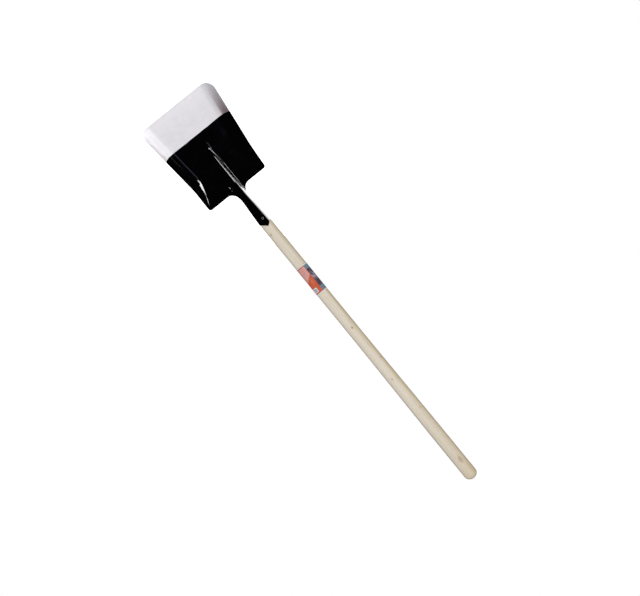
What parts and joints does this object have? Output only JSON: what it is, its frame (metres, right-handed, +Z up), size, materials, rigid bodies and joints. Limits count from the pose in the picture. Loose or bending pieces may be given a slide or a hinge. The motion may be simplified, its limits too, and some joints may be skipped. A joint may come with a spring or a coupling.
{
  "type": "square-mouth shovel",
  "caption": "Long-handled square-mouth shovel: pressed steel pan with turned-up sides, frog and open-back socket, riveted to a straight ash handle.",
  "frame": {"origin": "on the floor under the middle of the whole shovel's outline, level with the cutting edge", "axes": "+Z up along the handle from the blade to its free end, -Y towards the hollow front of the pan, +X across the pan"},
  "size_m": [0.268, 0.1519, 1.4609],
  "materials": {
    "black_paint": "gloss black paint over pressed steel",
    "bare_steel": "bare matt steel, lightly ground, front third of the pan",
    "ash": "sanded natural ash, unvarnished",
    "rivet_steel": "black paint, worn at the crown",
    "washer_zinc": "dull plated steel",
    "label_paper": null
  },
  "bodies": {
    "root": {"blade": "black_paint", "handle": "ash", "rivet": "rivet_steel", "rivet_washer": "washer_zinc", "label": "label_paper"}
  },
  "joints": []
}
